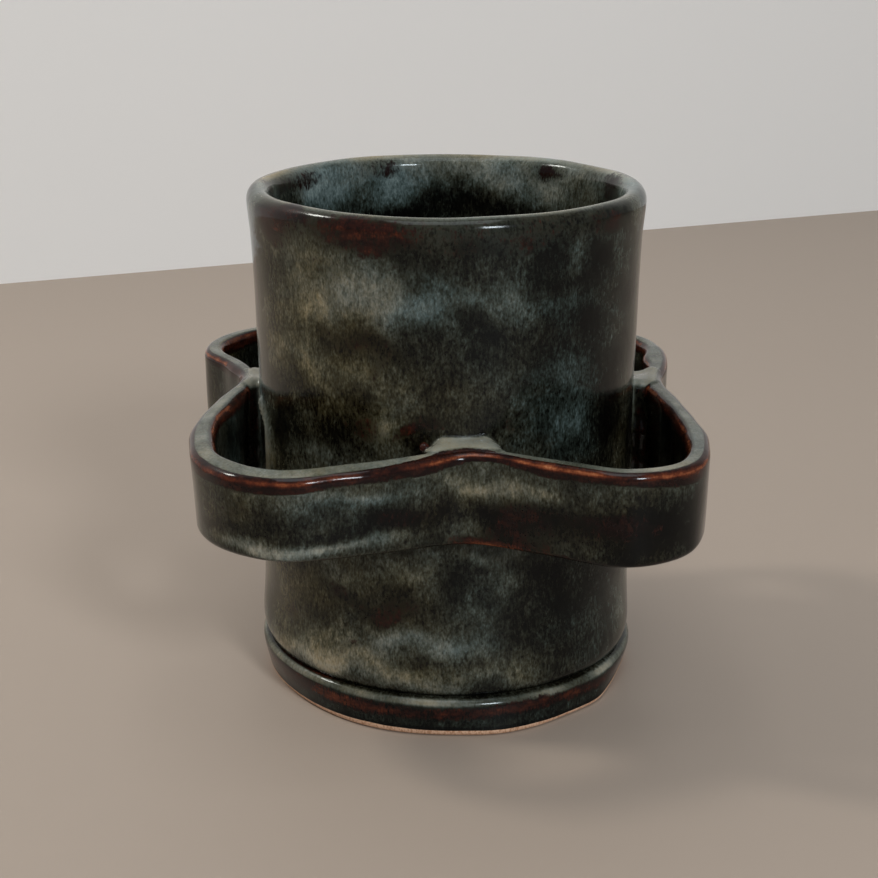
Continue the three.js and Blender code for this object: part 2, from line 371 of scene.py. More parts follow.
# Where the photograph shows the glaze, the dabs alone place it: this begins at the first of these
# values of minus the sine of the bearing, and is whole at the second
SEEN_WALL = (0.2, 0.6)
SEEN_STRAP = (0.3, 0.7)

# Dabs of thick or thin glaze on the wall's outside, some of them painted shade: bearing in degrees,
# height, half width and half height in mm, and how much thicker than the rest the glaze is there
WALL_DABS = [
    # Rows that darken the right side, such as (-46, 60, 15, 60, -0.2) and (-48, 95, 10, 5, -0.12), are
    # painted shade
    (-46, 60, 15, 60, -0.2), (-132, 99, 6, 5, 0.2), (-145, 94, 7, 6, -0.16),
    (-118, 91.5, 14, 8.5, 0.32), (-100, 86, 6, 5, 0.08), (-89, 99, 12, 4, -0.22),
    (-55, 98, 16, 5, -0.2), (-88, 92, 12, 5, 0.2), (-119, 82, 9, 5, -0.2), (-102, 83, 5, 6, -0.22),
    (-82, 83.5, 8, 6, -0.3), (-66, 82, 5, 6, -0.16), (-72, 82, 2.5, 7, 0.12), (-49, 83, 8, 5, -0.2),
    (-50, 89.5, 8, 3, 0.14), (-52, 76.5, 9, 3, 0.14), (-52, 66, 7, 6, 0.22), (-33, 61, 6, 8, -0.25),
    (-146, 61, 5, 6, -0.3), (-133, 61, 3, 5, 0.16), (-118, 63, 6, 5, -0.14), (-105, 70, 3, 8, 0.1),
    (-121, 76, 13, 3.5, 0.2), (-98, 75, 7, 3, 0.02), (-137, 76, 8, 4, 0.16),
    (-128, 67, 14, 7, -0.22), (-108, 68, 6, 6, 0.06), (-84, 75, 12, 4, -0.05),
    (-72, 67, 8, 5, -0.16), (-95, 65, 6, 2.5, -0.3), (-150, 84, 8, 18, 0.12),
    (-140, 27, 7, 10, 0.08), (-121, 29, 5, 6, 0.14), (-108, 27, 8, 4, -0.26),
    (-102, 35, 6, 4, 0.18), (-120, 21, 6, 3, -0.14), (-97, 20.5, 13, 3, 0.32),
    (-96, 16.2, 9, 1.2, -0.16), (-120, 15, 14, 3.5, 0.28), (-124, 16, 9, 3.5, 0.08),
    (-80, 39.5, 7, 2, 0.2), (-83, 32, 7, 6, -0.2), (-76, 28, 4, 7, 0.12), (-61, 26, 8, 9, -0.3),
    (-61, 15, 9, 3, 0.04), (-90, 12, 24, 2, 0.2), (-38, 20, 8, 12, -0.04), (-48, 95, 10, 5, -0.12),
    (-52, 101.5, 12, 3, 0.16), (-80, 96, 8, 3, 0.06), (-87, 103, 7, 3.5, -0.16),
    (-146, 11, 12, 2.6, 0.34), (-126, 11.3, 8, 2.2, 0.16),
]

# Where the wall's glaze is bluer (above 0) or more ochre (below 0), in the same way
WALL_HUES = [
    (-138, 88, 14, 24, -0.6), (-120, 91, 14, 8, -0.1), (-80, 90, 16, 8, 0.45),
    (-52, 77, 12, 18, 0.9), (-52, 88, 7, 2.5, 1.0), (-56, 76, 8, 2.5, 1.0), (-118, 82, 8, 5, -0.6),
    (-99, 91, 8, 7, 0.7), (-118, 72, 18, 8, -0.6), (-85, 68, 16, 8, -0.3), (-52, 63, 10, 8, 1.0),
    (-140, 25, 14, 14, -0.9), (-108, 27, 12, 8, -0.5), (-80, 28, 10, 8, 0.4), (-96, 20, 14, 3, 0.5),
    (-96, 14.5, 24, 3, -0.5), (-42, 22, 12, 14, 0.7), (-55, 101, 20, 5, 0.6),
]

# Where the glaze breaks brown on the wall's face, in the same way
WALL_BREAKS = [
    (-140, 105.0, 11, 2.4, 0.85), (-94, 67.3, 5, 1.5, 0.55), (-126, 96, 6, 2, 0.4),
    (-100, 97.5, 4, 1.5, 0.35), (-117, 83, 7, 4, 0.34), (-111, 77, 4, 4, 0.3),
    (-111, 66, 5, 3.5, 0.42), (-73, 67.5, 5, 2.2, 0.22), (-62, 65, 5, 2, 0.22),
    (-119, 27.5, 6, 3.5, 0.42), (-102, 27, 5, 4.5, 0.36), (-120, 17, 3, 2, 0.3),
    (-146, 22, 5, 6, 0.36),
]

# The strap's outer face in the same way: dabs, some of them painted shade, hues and brown breaks
STRAP_DABS = [
    (-128, 54, 6, 5, 0.06), (-117, 55, 7, 3, -0.16), (-118, 51, 12, 1.6, -0.14),
    (-112, 47.4, 20, 1.7, 0.36), (-107, 57, 9, 2.5, 0.28), (-102, 52, 6, 3.5, -0.3),
    (-94, 51, 5, 5, -0.3), (-88, 57, 6, 2.4, 0.08), (-79, 55.5, 9, 2.2, 0.36),
    (-77, 50, 6, 3, -0.32), (-64, 50, 14, 5, 0.04), (-56, 53, 9, 6, -0.36), (-49, 57, 5, 5, 0.12),
    # (-38, 53, 10, 9, -0.16) and (-50, 50, 26, 8, -0.2) darken the right end: painted shade
    (-38, 53, 10, 9, -0.16), (-50, 50, 26, 8, -0.2), (-96, 50, 30, 8, -0.06),
]
STRAP_HUES = [
    (-128, 54, 8, 10, -0.7), (-110, 48, 20, 3, 0.4), (-105, 57, 10, 3, 0.7), (-103, 52, 6, 3, 0.7),
    (-94, 51, 8, 5, -0.6), (-80, 55, 9, 4, -0.4), (-64, 49, 14, 5, -0.2), (-56, 54, 9, 6, -0.7),
    (-49, 56, 5, 8, 0.7),
]
STRAP_BREAKS = [
    (-97, 51.5, 5, 3.5, 0.4), (-72, 50.5, 6, 3.5, 0.42), (-59, 51.5, 8, 4.5, 0.44),
    (-128, 54.5, 5, 4, 0.38), (-79, 46.5, 7, 2.2, 0.5),
]

# Along the strap's edges, and then the base's: bearing and half width in degrees, and how much
# CREST_BUMPS set how bright the line along the strap's edge is: rust-orange break, and partly a painted
# sheen
CREST_BUMPS = [(-84, 22, 0.42), (-52, 12, 0.2), (-125, 10, 0.1), (30, 25, 0.3), (140, 30, 0.3)]
UNBROKEN_CREST = [(-86, 12, 1.0)]  # the bright line has no gaps here
BARED_TOP = [(-86, 9, 1.4)]  # the brown reaches this many mm over the top
RUSTY_BOTTOM = [(-79, 9, 0.75)]
BASE_RUST = [(-140, 20, 0.8)]
BASE_CREST = [(-124, 14, 0.28), (40, 30, 0.2), (130, 25, 0.2)]

# Clouds of thick or thin glaze inside the cup, in the same way as outside, then its hues
INSIDE_DABS = [
    (121, 98, 4.5, 3.5, -0.16), (95, 98.5, 8, 4.5, -0.16), (108, 104, 4, 6, 0.16),
    (86, 105, 8, 2.5, 0.08), (138, 103, 9, 5, 0.12), (60, 103, 8, 4, 0.08), (70, 97, 8, 3, -0.15),
    (25, 100, 12, 8, -0.2), (150, 99, 7, 4, 0.1),
]
INSIDE_HUES = [
    (130, 103, 18, 8, 0.5), (95, 99, 12, 6, 0.5), (57, 102, 10, 8, -0.7), (25, 102, 14, 8, -0.3),
]

# Brown breaks at the lip: bearing and half width in degrees, strength
LIP_BREAKS = [
    (-112, 20, 0.78), (-84, 12, 0.12), (-62, 10, 0.2), (-38, 8, 0.35), (-150, 10, 0.76),
    (50, 8, 0.45), (113, 9, 0.4), (150, 14, 0.5), (12, 10, 0.35), (-180, 12, 0.4),
]


def dabs(bearing, height, rows, radius):
    """Sum of the dabs at each point, their edges pulled about a little."""
    shift = 1.8 * glaze_dabs(bearing, height + 40)
    drop = 1.2 * glaze_dabs(bearing, height)
    total = np.zeros(np.shape(bearing))
    for centre, level, wide, high, more in rows:
        across = angle_from(centre, bearing) * radius
        total += more * bell(across + shift, wide) * bell(height - level + drop, high)
    return total


def wall_glaze_and_shade(bearing, height):
    """Thickness of the glaze on the wall's outside, 0 thin to 1 thick, with painted shade on its right
    side.
    """
    level = PLAIN_GLAZE + 0.1 * glaze_waves(bearing, height) + 0.05 * glaze_dabs(bearing, height)
    level = mix(level, FRONT_WALL_GLAZE, ease(-np.sin(bearing), *SEEN_WALL))
    level = level + dabs(bearing, height, WALL_DABS, WALL_RADIUS) + 0.03 * glaze_dabs(bearing, height)
    return mix(level, RUN_GLAZE, glaze_runs(bearing, height))


def strap_glaze_and_shade(bearing, height):
    """Thickness of the glaze on the strap, with painted shade at its right end."""
    level = PLAIN_GLAZE + 0.11 * glaze_waves(bearing * 2, height * 1.4)
    level = level + 0.05 * glaze_dabs(bearing, height)
    level = mix(level, PLAIN_GLAZE, ease(-np.sin(bearing), *SEEN_STRAP))
    return level + 1.25 * dabs(bearing, height, STRAP_DABS, MIDDLE_REACH)


def wall_hue(bearing, height):
    """How blue (above 0) or ochre (below 0) the wall's glaze is."""
    hue = 0.6 * glaze_waves(bearing + 1, height * 0.7) * fade(-np.sin(bearing), *SEEN_WALL)
    hue = hue + dabs(bearing, height, WALL_HUES, WALL_RADIUS)
    return hue * (1 - glaze_runs(bearing, height))


def strap_hue(bearing, height):
    hue = 0.6 * glaze_waves(bearing * 2 + 1, height) * fade(-np.sin(bearing), *SEEN_STRAP)
    return hue + dabs(bearing, height, STRAP_HUES, MIDDLE_REACH)


def inside_glaze_and_shade(bearing, height):
    """Thickness of the glaze on the wall's inside, thick below the lip, with painted shade that darkens
    it farther down into the cup.
    """
    depth = CUP_HEIGHT - height + 2.5 * glaze_waves(bearing, 5)
    # Painted shade: the glaze is darkened deeper into the cup
    level = INSIDE_GLAZE - 0.5 * ease(depth, 5, 13) + 0.03 * glaze_dabs(bearing, height)
    seen = ease(np.sin(bearing), 0.0, 0.4) * ease(height, 94, 98)
    level = level + 0.12 * glaze_waves(bearing + 2, height * 0.8) * (1 - seen)
    return level + dabs(bearing, height, INSIDE_DABS, INNER_RADIUS)


def inside_hue(bearing, height):
    return 0.5 + 0.3 * glaze_waves(bearing, height) + dabs(bearing, height, INSIDE_HUES, INNER_RADIUS)


def lip_break(bearing):
    """How strongly the glaze breaks brown along the lip."""
    return np.clip(0.06 + 0.1 * lip_waves(bearing, 0) + bumps(bearing, LIP_BREAKS), 0, 1)


# Meshes


def link_object(name, data):
    obj = bpy.data.objects.new(name, data)
    bpy.context.scene.collection.objects.link(obj)
    return obj


def make_object(name, points, faces, masks, material):
    """A smooth mesh object in metres that rides on the cup, with its glaze masks on its points."""
    mesh = bpy.data.meshes.new(name)
    mesh.from_pydata((points * MM).tolist(), [], faces)
    for key, values in masks.items():
        layer = mesh.attributes.new(key, "FLOAT", "POINT")
        layer.data.foreach_set("value", np.asarray(values, np.float32).ravel())
    mesh.shade_smooth()
    mesh.materials.append(material)
    obj = link_object(name, mesh)
    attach(obj, "root")
    return obj


def grid_faces(rows, columns, close_rows):
    """Quads of a grid that closes round its columns, and round its rows too if asked."""
    index = np.arange(rows * columns).reshape(rows, columns)
    if close_rows:
        index = np.vstack([index, index[:1]])
    ahead = np.roll(index, -1, 1)
    return np.stack([index[:-1], ahead[:-1], ahead[1:], index[1:]], -1).reshape(-1, 4).tolist()


def turned(outline):
    """Radius, height and bearing of every point of an outline turned round the cup, one row each."""
    bearings = np.linspace(-math.pi, math.pi, ROUND_STEPS, endpoint=False)
    return np.broadcast_arrays(outline[:, :1], outline[:, 1:], bearings)


def on_circle(radius, height, bearing):
    return np.stack([radius * np.cos(bearing), radius * np.sin(bearing), height], -1).reshape(-1, 3)


def make_wall(material):
    """The wall: outside, lip and inside as one closed turned surface."""
    lip = arc(RIM_RADIUS - LIP_RADIUS, CUP_HEIGHT - LIP_RADIUS, LIP_RADIUS, -5, 185, 30)
    inside = [(INNER_RADIUS + more, height) for more, height in FLARE_BEND]
    bottom = [(INNER_RADIUS, BASE_THICKNESS), (GROOVE_RADIUS - 0.2, BASE_THICKNESS), OUTER[0]]
    sides = smooth_profile(np.vstack([OUTER, lip, inside, bottom[:1]]), WALL_STEP, 3)
    outline = np.vstack([sides, resample(bottom, HIDDEN_STEP)[1:-1]])
    radius, height, bearing = turned(outline)
    outside = ease(radius, RIM_RADIUS - LIP_RADIUS - 3.4, RIM_RADIUS - LIP_RADIUS)
    below_lip = (height < FLARE_END) & (radius > WALL_RADIUS - 1)
    bulge = wall_bulge(bearing, height) * below_lip
    bulge = bulge + INSIDE_UNEVENNESS * wall_waves(bearing + 1, height) * (radius < INNER_RADIUS + 2)
    rise = ease(height, FLARE_END, CUP_HEIGHT) * LIP_UNEVENNESS * (np.tanh(lip_waves(bearing, 0)) - 1)
    points = on_circle(radius + bulge, height + rise + groove_lift(bearing, height), bearing)

    depth = CUP_HEIGHT - height
    below = (depth - 2.7) * np.where(depth > 2.7, 0.56, 1)
    from_lip = np.hypot((radius - RIM_RADIUS) * 0.9, below)
    inner_lip = np.hypot(radius - (RIM_RADIUS - 2 * LIP_RADIUS), height - (CUP_HEIGHT - 3))
    spread = 1 + 0.25 * lip_waves(bearing, 20) + 0.15 * glaze_dabs(bearing, height)
    at_lip = np.maximum(fade(from_lip / spread, 0.8, 4.6), fade(inner_lip / spread, 0.6, 4.4))
    on_face = dabs(bearing, height, WALL_BREAKS, WALL_RADIUS) * outside
    broken = np.maximum(lip_break(bearing) * at_lip, on_face)
    crest = broken * (0.1 * glaze_dabs(bearing, height) + 0.16 * bell(depth - 3.0, 1.0))
    # Painted shade: the glaze is darkened along the groove
    groove = bell(height - BASE_THICKNESS - 0.1, 0.9) * outside
    # Painted reflection: the lip's crown is made paler, partly as pooled glaze, partly for the light
    # reflected on its top
    crown = fade(np.abs(radius - RIM_RADIUS + LIP_RADIUS + 0.5), 0.5, 2.0) * fade(depth, 0.6, 1.4)
    thick = mix(inside_glaze_and_shade(bearing, height), wall_glaze_and_shade(bearing, height), outside)
    masks = {
        "thick": mix(thick - 0.3 * groove, LIP_GLAZE_AND_REFLECTION + 0.05 * lip_waves(bearing, 9), crown),
        "hue": mix(inside_hue(bearing, height), wall_hue(bearing, height), outside),
        "broken": broken,
        "crest": crest - 0.22 * (1 - outside),
        "calm": np.maximum(0.8 * ease(-depth, -2, -0.6), glaze_runs(bearing, height) * outside),
    }
    faces = grid_faces(len(outline), ROUND_STEPS, close_rows=True)
    wall = make_object("cup_wall", points, faces, masks, material)
    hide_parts("wall_cylinder")


def make_base(material):
    """The base slab, with its bare clay foot and its rounded shoulder below the groove."""
    bevel = arc(BASE_RADIUS - FOOT_BEVEL, FOOT_BEVEL, FOOT_BEVEL, -90, -10, 6)
    shoulder = arc(BASE_RADIUS - SHOULDER_RADIUS, BASE_THICKNESS - 1.9, SHOULDER_RADIUS, 0, 80, 8)
    side = np.vstack([bevel, [(BASE_RADIUS, 3.5)], shoulder, [(GROOVE_RADIUS - 0.8, BASE_THICKNESS)]])
    side = smooth_profile(side, BASE_STEP, 6)
    under = [(radius, 0) for radius in np.arange(1, side[0, 0] - 1, FLAT_STEP)]
    floor = np.arange(side[-1, 0] - FLAT_STEP, 1, -FLAT_STEP)
    outline = np.vstack([under, side, [(radius, BASE_THICKNESS) for radius in floor]])
    radius, height, bearing = turned(outline)
    rim_share = ease(radius, BASE_RADIUS - 6, BASE_RADIUS - 1)
    low_share = 1 - height / BASE_THICKNESS
    trim = (FOOT_TRIM + bumps(bearing, FOOT_CUTS)) * fade(height, 0, 7.5)
    waves = FOOT_UNEVENNESS * foot_waves(bearing, 0) * low_share
    waves = waves + BASE_UNEVENNESS * foot_waves(bearing, 30)
    lift = groove_lift(bearing, np.minimum(height, BASE_THICKNESS - 0.4)) * rim_share
    lift = lift * (height < BASE_THICKNESS)
    points = on_circle(radius + rim_share * (waves - trim), height + lift, bearing)
    points[:, :2] += FOOT_DRIFT * low_share.reshape(-1, 1)

    line = CLAY_LINE + 0.22 * foot_waves(bearing, 60)
    rust = bell(height - 5.0 - 0.3 * foot_waves(bearing, 10), 1.5) * rim_share
    ridge = ease(height, 6.2, 7.0) * ease(radius, GROOVE_RADIUS + 0.1, GROOVE_RADIUS + 0.9)
    left_rust = bumps(bearing, BASE_RUST) * ease(height, 4, 5) * (1 - ridge)
    rust = np.maximum(rust, left_rust * rim_share)
    # Painted highlight: the ridge's upturned top is made paler, partly as pooled glaze, partly for the
    # light falling on it
    pooled_glaze_and_painted_light = (0.44 + 0.05 * glaze_waves(bearing * 2, 0)) * ridge
    glazed = BASE_GLAZE + 0.05 * glaze_dabs(bearing, height) + pooled_glaze_and_painted_light
    on_floor = BASE_GLAZE + 0.1 * glaze_waves(bearing, radius)
    lower_edge = bell(height - line - 0.35, 0.35)
    inside = (radius < INNER_RADIUS) & (height > 1)
    masks = {
        "thick": np.where(inside, on_floor, glazed - 0.3 * lower_edge),
        "hue": 0.6 - 0.75 * ease(height, 6, 7),
        "broken": rust * (0.85 + 0.2 * np.tanh(glaze_waves(bearing, 5))),
        "crest": rust * (0.1 + bumps(bearing, BASE_CREST)),
        "calm": 0.7 * ridge,
        "bare": fade(height, line - 0.2, line + 0.15),
    }
    rows = len(outline)
    faces = grid_faces(rows, ROUND_STEPS, close_rows=False)
    points = np.vstack([points, [[*FOOT_DRIFT, 0.0], [0.0, 0.0, BASE_THICKNESS]]])
    for key, values in masks.items():
        masks[key] = np.append(values.ravel(), [values[0, 0], values[-1, 0]])
    last = (rows - 1) * ROUND_STEPS
    for j in range(ROUND_STEPS):
        k = (j + 1) % ROUND_STEPS
        faces.append((rows * ROUND_STEPS, k, j))
        faces.append((rows * ROUND_STEPS + 1, last + j, last + k))
    base = make_object("cup_base", points, faces, masks, material)
    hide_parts("base_slab")


def make_seam_coil(material):
    """The coil pressed into the corner between wall and floor."""
    corner = INNER_RADIUS + 0.4
    floor = BASE_THICKNESS - 0.4
    size = SEAM_COIL_RADIUS + 0.6
    fillet = arc(corner - size, floor + size, size, 0, -90, 16)
    outline = np.vstack([fillet, [(corner, floor)]])
    radius, height, bearing = turned(outline)
    soft = ease(radius, corner - size, corner - 1) * fade(height, floor + 3, floor + size)
    points = on_circle(radius - 0.25 * soft * np.abs(strap_waves(bearing, height)), height, bearing)
    masks = {"thick": BASE_GLAZE + 0.08 * glaze_dabs(bearing, height), "hue": np.full(radius.shape, 0.6)}
    faces = [face[::-1] for face in grid_faces(len(outline), ROUND_STEPS, close_rows=True)]
    coil = make_object("seam_coil", points, faces, masks, material)
    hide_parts("inner_seam_coil")


def strap_section():
    """The strap's section, anticlockwise: x outwards and z, each with a row for every station."""
    arcs = []
    for side, level, start in ((1, -1, -90), (1, 1, 0), (-1, 1, 90), (-1, -1, 180)):
        edge = TOP_EDGE_RADIUS if level > 0 else BOTTOM_EDGE_RADIUS
        middle_x = side * (HALF - edge)
        middle_z = (TOP if level > 0 else BOTTOM) - level * edge
        turns = np.radians(np.linspace(start, start + 90, CORNER_STEPS + 1))
        arcs.append([(middle_x + edge * math.cos(t), middle_z + edge * math.sin(t)) for t in turns])
    section = []
    for index, corner in enumerate(arcs):
        section += corner
        start_x, start_z = corner[-1]
        end_x, end_z = arcs[(index + 1) % 4][0]
        steps = EDGE_STEPS if index in (1, 3) else FACE_STEPS
        for share in np.linspace(0, 1, steps + 1)[1:-1]:
            section.append((mix(start_x, end_x, share), mix(start_z, end_z, share)))
    return np.array(section).transpose(1, 2, 0)


def make_strap(material):
    """The strap: one section swept along its centre line."""
    x, z = strap_section()
    columns = x.shape[1]
    station = np.repeat(np.arange(STRAP_STEPS), columns)
    x, z, half, top = x.ravel(), z.ravel(), HALF[station], TOP[station]
    moved_x = x + strap_ripple(station, x, z) - LEAN[station] * (top - z) / (top - BOTTOM[station])
    moved_z = z - SLOPE[station] * (x + half) / (2 * half)
    points = np.column_stack([STRAP_LINE[station] + STRAP_OUT[station] * moved_x[:, None], moved_z])
    masks = strap_masks(points, x, z, station)
    faces = [face[::-1] for face in grid_faces(STRAP_STEPS, columns, close_rows=True)]
    strap = make_object("strap", points, faces, masks, material)
    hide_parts("lobed_strap")


def strap_masks(points, x, z, station):
    """The glaze on the strap: it breaks brown along the upper edges and here and there below."""
    bearing = bearing_of(points)
    turn = STRAP_TURN[station]
    half, top, bottom = HALF[station], TOP[station], BOTTOM[station]
    width = 1 + 0.16 * strap_waves(turn, 10)
    below = (top - z) / width
    lower = np.hypot(x - half, z - bottom) / width
    inner_lower = np.hypot(x + half, z - bottom) / width
    rusty = bumps(bearing, RUSTY_BOTTOM)
    bared = bumps(bearing, BARED_TOP)
    outer = ease(x, half - 1.5 - bared, half - 0.9 - bared) * fade(below, 1.9, 3.1)
    inner = ease(-x, half - 1.0, half - 0.6) * fade(below, 1.6, 3.4)
    on_face = dabs(bearing, points[:, 2], STRAP_BREAKS, MIDDLE_REACH) * ease(x, 0, half)
    breaks = [
        outer,
        inner,
        on_face,
        0.35 * fade(lower, 0.6, 1.8),
        0.4 * fade(inner_lower, 0.6, 1.8),
        1.2 * rusty * fade(lower, 2.2, 5.2),
    ]
    uneven = np.maximum(ease(strap_waves(turn, 60), -2.4, 0.2), bumps(bearing, UNBROKEN_CREST))
    crests = [
        # The bright line along the outer top edge: rust-orange break, and partly a painted sheen
        outer * bell(below - 0.8, 0.42) * uneven * (0.42 + bumps(bearing, CREST_BUMPS)),
        inner * bell(below - 0.6, 0.5) * uneven * 0.6,
        inner * bell(below - 1.7, 1.0) * 0.3,
        rusty * bell(lower, 2.4),
    ]
    # Painted shade: the inner face, turned to the wall, is made darker for the shade between strap and
    # wall
    inside = fade(x, -half, -half + 1.5)
    on_top = ease(half - np.abs(x), 0.7, 1.6) * fade(top - z, 0.2, 0.9)
    # Painted reflection: the top face is made paler, partly as pooled glaze, partly for the bright light
    # reflected on it
    pooled_glaze_and_painted_light = STRAP_TOP_GLAZE_AND_REFLECTION + 0.05 * strap_waves(turn, 100) + 0.03 * glaze_dabs(bearing * 3, x)
    return {
        "thick": mix(strap_glaze_and_shade(bearing, points[:, 2]), pooled_glaze_and_painted_light, on_top) - 0.14 * inside,
        "hue": strap_hue(bearing, z) * (1 - on_top),
        "broken": np.maximum.reduce(breaks),
        "crest": np.maximum.reduce(crests) - 0.3 * on_face * (1 - rusty),
        "calm": 0.85 * on_top,
    }


# Joins: where wall, strap and a lump of clay flow together


def smooth_min(a, b, blend):
    """The smaller of two distances, with the corner between them filled in a hollow."""
    share = np.clip(0.5 + 0.5 * (b - a) / blend, 0, 1)
    return mix(b, a, share) - blend * share * (1 - share)


def wall_distance(points):
    profile = np.interp(points[:, 2], OUTER[:, 1], OUTER[:, 0])
    return lengths(points[:, :2]) - profile - wall_bulge(bearing_of(points), points[:, 2])


def strap_distance(points):
    """Distance to the strap's skin, how far outwards of its centre line, and the station there."""
    close = np.flatnonzero(lengths(STRAP_LINE - points[:, :2].mean(0)) < 30)
    gaps = points[:, None, :2] - STRAP_LINE[close]
    station = close[np.argmin((gaps**2).sum(2), 1)]
    offset = points[:, :2] - STRAP_LINE[station]
    x = (offset * STRAP_OUT[station]).sum(1)
    half, top, bottom = HALF[station], TOP[station], BOTTOM[station]
    z = points[:, 2] + SLOPE[station] * np.clip((x + half) / (2 * half), 0, 1)
    x = x + LEAN[station] * (top - z) / (top - bottom)
    x = x - strap_ripple(station, x, z)
    beyond_x = np.abs(x) - half + TOP_EDGE_RADIUS
    beyond_z = np.abs(z - (top + bottom) / 2) - (top - bottom) / 2 + TOP_EDGE_RADIUS
    outside = np.hypot(np.maximum(beyond_x, 0), np.maximum(beyond_z, 0))
    return outside + np.minimum(np.maximum(beyond_x, beyond_z), 0) - TOP_EDGE_RADIUS, x, station


def lump_distance(points, sideways, wide, rise, over, strap_x):
    """Distance to the lump of clay between wall and strap, before it is smeared out."""
    depth = np.clip((STRAP_TOP - points[:, 2]) / (STRAP_TOP - STRAP_BOTTOM), 0, 1)
    radius = lengths(points[:, :2])
    at_wall = 1 - np.clip((radius - WALL_RADIUS) / 2.2, 0, 1)
    across = np.abs(sideways) - wide - JOIN_SPREAD * depth + JOIN_TAPER * at_wall
    inwards = WALL_RADIUS - 3 - radius
    upwards = points[:, 2] - STRAP_TOP - rise
    downwards = STRAP_BOTTOM - 0.2 - points[:, 2]
    beyond = np.stack([across, inwards, strap_x - over, upwards, downwards], 1) + JOIN_ROUNDING
    lump = lengths(np.maximum(beyond, 0)) + np.minimum(beyond.max(1), 0) - JOIN_ROUNDING
    pellet = lengths(points - PELLET) - PELLET_RADIUS
    return smooth_min(lump, pellet, 0.8)


def finger_marks(points, seed):
    """Small lumps left by a finger or tool, about 1 in size."""
    draw = np.random.RandomState(seed)
    total = np.zeros(len(points))
    for _ in range(10):
        direction = draw.normal(size=3)
        direction *= 2 * math.pi / draw.uniform(4, 9) / np.linalg.norm(direction)
        total += np.cos(points @ direction + draw.uniform(0, 6))
    return total / math.sqrt(5)


def join_field(points, sideways, wide, rise, over, seed):
    """Below 0 inside the join. Where nothing is smeared on, it sinks below wall and strap."""
    to_wall = wall_distance(points)
    to_strap, strap_x, _ = strap_distance(points)
    nearest = np.minimum(to_wall, to_strap)
    lump = lump_distance(points, sideways, wide, rise, over, strap_x)
    flow = smooth_min(smooth_min(to_wall, to_strap, JOIN_FLOW), lump, LUMP_FLOW)
    flow = flow - FINGER_MARKS * finger_marks(points, seed) * ease(nearest, 0.1, 0.9)
    flow = flow + 0.14 * fade(nearest - flow, 0.0, 0.4)
    beside = np.abs(sideways) - (wide + JOIN_SPREAD + JOIN_MARGIN)
    above = np.maximum(points[:, 2] - STRAP_TOP, STRAP_BOTTOM - points[:, 2]) - 3
    inner = WALL_RADIUS - 1.6 - lengths(points[:, :2])
    return np.maximum.reduce([flow, beside, above, inner, strap_x - over - 1.3])


def in_parts(field, points):
    """The field at the points, some at a time to save memory."""
    parts = np.array_split(points, len(points) // 12000 + 1)
    return np.concatenate([field(part) for part in parts])


def surface_net(field, low, high, cell):
    """Points and quads of the closed surface where the field is 0, one point in each cell it cuts."""
    axes = [np.arange(low[k], high[k] + cell, cell) for k in range(3)]
    grid = np.stack(np.meshgrid(*axes, indexing="ij"), -1)
    values = in_parts(field, grid.reshape(-1, 3)).reshape(grid.shape[:3])
    cells = np.array(values.shape) - 1
    corners = [(i, j, k) for i in (0, 1) for j in (0, 1) for k in (0, 1)]
    spans = {c: tuple(slice(c[k], c[k] + cells[k]) for k in range(3)) for c in corners}
    edges = [(a, b) for a in corners for b in corners if a < b and math.dist(a, b) == 1]
    total = np.zeros((*cells, 3))
    hits = np.zeros(cells)
    for a, b in edges:
        here = values[spans[a]]
        there = values[spans[b]]
        cut = (here < 0) != (there < 0)
        share = np.where(cut, here / np.where(cut, here - there, 1), 0)[..., None]
        total += mix(grid[spans[a]], grid[spans[b]], share) * cut[..., None]
        hits += cut
    used = hits > 0
    points = total[used] / hits[used][:, None]
    index = np.full(cells, -1)
    index[used] = np.arange(len(points))
    faces = []
    for k in range(3):
        along = np.moveaxis(values, k, 0)
        ids = np.moveaxis(index, k, 0)
        here = along[:-1, 1:-1, 1:-1] < 0
        there = along[1:, 1:-1, 1:-1] < 0
        ring = np.stack([ids[:, :-1, :-1], ids[:, 1:, :-1], ids[:, 1:, 1:], ids[:, :-1, 1:]], -1)
        turn = -1 if k == 1 else 1  # the middle axis winds the other way
        faces += ring[here & ~there][:, ::turn].tolist() + ring[there & ~here][:, ::-turn].tolist()
    return points, faces


def settle(field, points, steps=3):
    """Moves points onto the surface on which the field is 0, along its slope."""
    reach = 0.05
    for _ in range(steps):
        value = in_parts(field, points)
        rises = [in_parts(field, points + reach * axis) - value for axis in np.eye(3)]
        slope = np.stack(rises, 1) / reach
        steep = np.maximum((slope**2).sum(1), 0.2)
        points = points - np.clip(value / steep, -0.2, 0.2)[:, None] * slope
    return points


def make_join(name, bearing, wide, rise, over, material):
    """A join: the surface of a field that flows from the wall over a lump of clay to the strap."""
    turn = math.radians(bearing)
    out = (math.cos(turn), math.sin(turn), 0)
    axes = np.array([out, (-out[1], out[0], 0), (0, 0, 1)])
    seed = 30 + round(wide * 10)

    def field(local):
        return join_field(local @ axes, local[:, 1], wide, rise, over, seed)

    reach = wide + JOIN_SPREAD + JOIN_MARGIN + 0.5
    low = np.array([WALL_RADIUS - 5, -reach, STRAP_BOTTOM - JOIN_MARGIN])
    high = np.array([WALL_RADIUS + 11, reach, STRAP_TOP + JOIN_MARGIN])
    local, faces = surface_net(field, low, high, JOIN_CELL)
    points = settle(field, local) @ axes
    join = make_object(name + "_clay", points, faces, join_masks(points), material)
    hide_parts(name)


